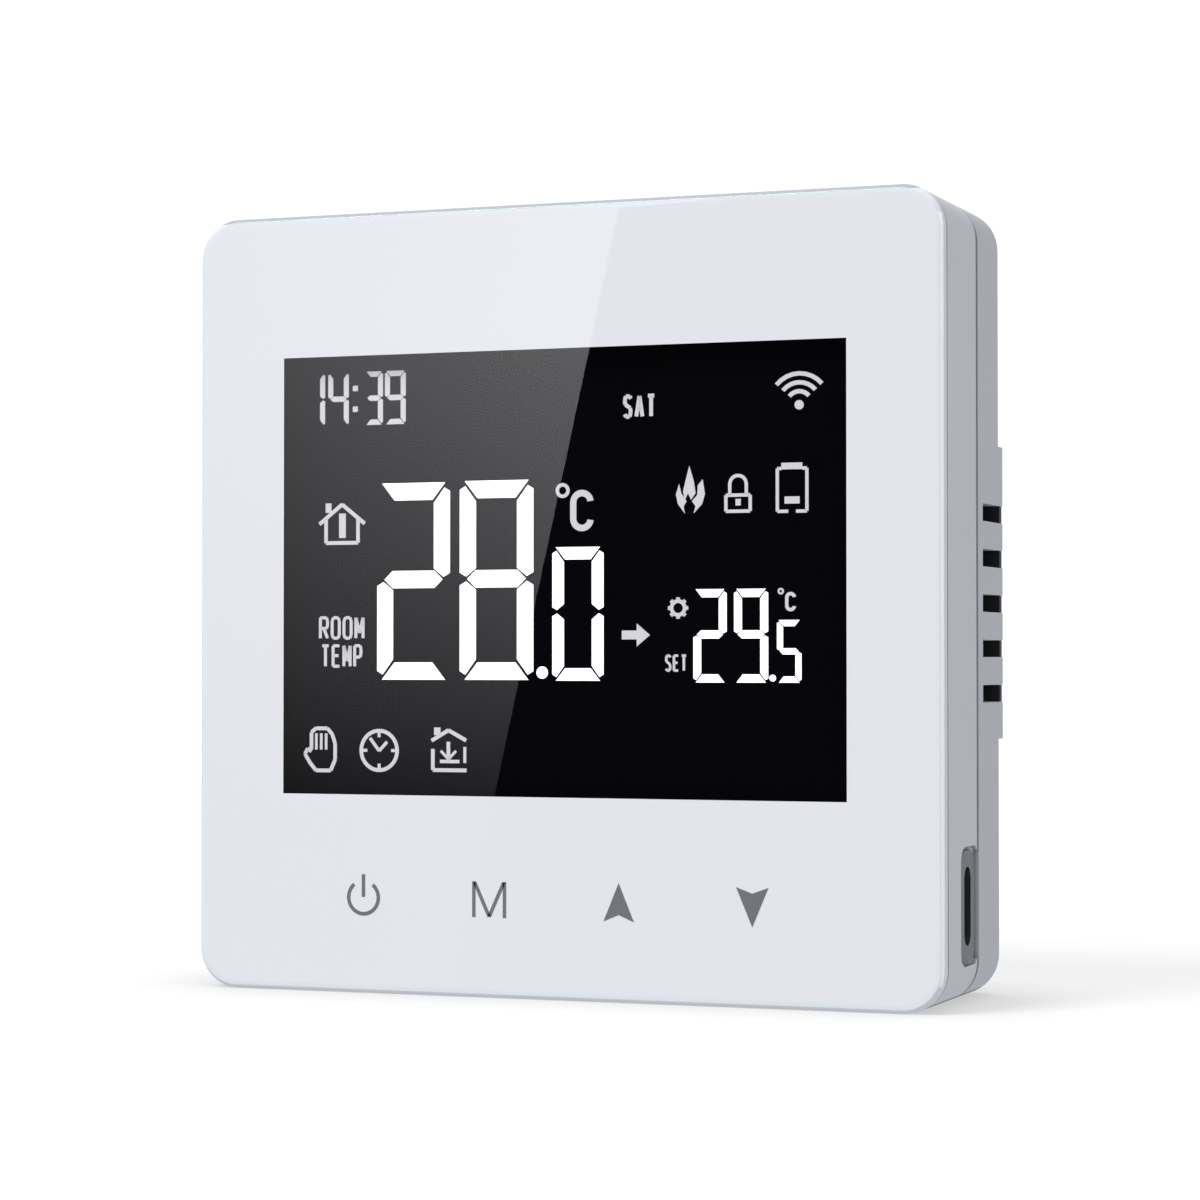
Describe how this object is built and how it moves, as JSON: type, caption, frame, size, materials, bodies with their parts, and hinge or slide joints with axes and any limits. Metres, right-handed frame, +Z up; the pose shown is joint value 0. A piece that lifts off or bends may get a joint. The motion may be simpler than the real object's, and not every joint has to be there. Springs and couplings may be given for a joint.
{
  "type": "wall thermostat",
  "caption": "Square wall thermostat: glass touch front with a dark segment display, side vents, USB-C socket, and a pull-off front unit on a screwed wall base.",
  "frame": {"origin": "middle of the back face, on the wall plane, midway between the two wall screws", "axes": "-Y out of the wall towards the viewer, +Y into the wall, +Z up, +X to the right of someone facing the thermostat"},
  "size_m": [0.086, 0.025, 0.086],
  "materials": {
    "clear_glass": "polished clear glass with ground edges",
    "white_print": "white ink printed on the back of the glass",
    "tape": "double-sided foam tape",
    "white_abs": "fine-textured white ABS",
    "display_black": "black polarising film",
    "display_glass": "liquid crystal glass sandwich",
    "light_film": "white diffusing film",
    "light_acrylic": "clear acrylic light guide",
    "black_plastic": "moulded black plastic",
    "led_body": "white LED with yellow phosphor",
    "tinned_metal": "bright tinned metal",
    "gold_contact": "thin gold plating",
    "circuit_board": "green solder mask on glass-epoxy board",
    "circuit_board_dark": "dark green solder mask",
    "steel_screw": "zinc-plated steel",
    "chip_black": "moulded epoxy",
    "ferrite": "sintered ferrite",
    "ceramic_parts": "fired ceramic with tinned ends",
    "socket_steel": "drawn stainless steel",
    "relay_black": "sealed black relay case",
    "capacitor_sleeve": "shrink sleeve over an aluminium can",
    "terminal_green": "green polyamide",
    "brass_contact": "tinned brass strip",
    "cell_sleeve": "plain printed sleeve on a steel can",
    "nickel_spring": "nickel-plated spring steel",
    "lead_red": "red PVC insulation",
    "lead_black": "black PVC insulation"
  },
  "bodies": {
    "base": {"rear_cover": "white_abs", "vent_louvres": "black_plastic", "relay_board": "circuit_board", "relay_board_screws": "steel_screw", "relay_case": "relay_black", "relay_pins": "tinned_metal", "supply_capacitor": "capacitor_sleeve", "driver_parts": "chip_black", "link_socket": "black_plastic", "terminal_block": "terminal_green", "terminal_contacts": "brass_contact", "battery_cell_lower": "cell_sleeve", "battery_cell_upper": "cell_sleeve", "battery_springs": "nickel_spring", "battery_bridge": "nickel_spring", "battery_end_plates": "nickel_spring", "battery_lead_plus": "lead_red", "battery_lead_minus": "lead_black"},
    "front_unit": {"front_glass": "clear_glass", "glass_print": "white_print", "glass_tape": "tape", "front_housing": "white_abs", "lcd_polariser": "display_black", "lcd_glass": "display_glass", "diffuser_sheet": "light_film", "light_guide": "light_acrylic", "reflector_sheet": "light_film", "lcd_frame": "black_plastic", "backlight_leds": "led_body", "lcd_pins": "tinned_metal", "touch_springs": "gold_contact", "main_board": "circuit_board", "main_board_screws": "steel_screw", "controller_chip": "chip_black", "radio_board": "circuit_board_dark", "radio_shield": "tinned_metal", "buzzer": "black_plastic", "clock_crystal": "tinned_metal", "power_coil": "ferrite", "chip_parts": "ceramic_parts", "temperature_probe": "chip_black", "usb_shell": "socket_steel", "usb_tongue": "black_plastic", "usb_contacts": "gold_contact", "link_header": "black_plastic", "link_pins": "gold_contact"},
    "terminal_cage_1": {"terminal_cage_1": "tinned_metal"},
    "terminal_cage_2": {"terminal_cage_2": "tinned_metal"},
    "terminal_cage_3": {"terminal_cage_3": "tinned_metal"},
    "terminal_screw_1": {"terminal_screw_1": "steel_screw"},
    "terminal_screw_2": {"terminal_screw_2": "steel_screw"},
    "terminal_screw_3": {"terminal_screw_3": "steel_screw"}
  },
  "joints": [
    {"name": "front_pull_off", "type": "slide", "parent": "base", "child": "front_unit", "axis": [0, -1, 0], "range_m": [0, 0.04]},
    {"name": "terminal_1_turn", "type": "hinge", "parent": "base", "child": "terminal_screw_1", "pos_m": [-0.00508, -0.0128, -0.0175], "axis": [0, 1, 0], "range_deg": [0, 1080]},
    {"name": "terminal_1_lift", "type": "slide", "parent": "base", "child": "terminal_cage_1", "axis": [0, -1, 0], "range_m": [0, 0.0015]},
    {"name": "terminal_2_turn", "type": "hinge", "parent": "base", "child": "terminal_screw_2", "pos_m": [0, -0.0128, -0.0175], "axis": [0, 1, 0], "range_deg": [0, 1080]},
    {"name": "terminal_2_lift", "type": "slide", "parent": "base", "child": "terminal_cage_2", "axis": [0, -1, 0], "range_m": [0, 0.0015]},
    {"name": "terminal_3_turn", "type": "hinge", "parent": "base", "child": "terminal_screw_3", "pos_m": [0.00508, -0.0128, -0.0175], "axis": [0, 1, 0], "range_deg": [0, 1080]},
    {"name": "terminal_3_lift", "type": "slide", "parent": "base", "child": "terminal_cage_3", "axis": [0, -1, 0], "range_m": [0, 0.0015]}
  ],
  "couplings": [
    {"joint": "terminal_1_turn", "follows": "terminal_1_lift", "rad_per_m": 12566},
    {"joint": "terminal_2_turn", "follows": "terminal_2_lift", "rad_per_m": 12566},
    {"joint": "terminal_3_turn", "follows": "terminal_3_lift", "rad_per_m": 12566}
  ]
}
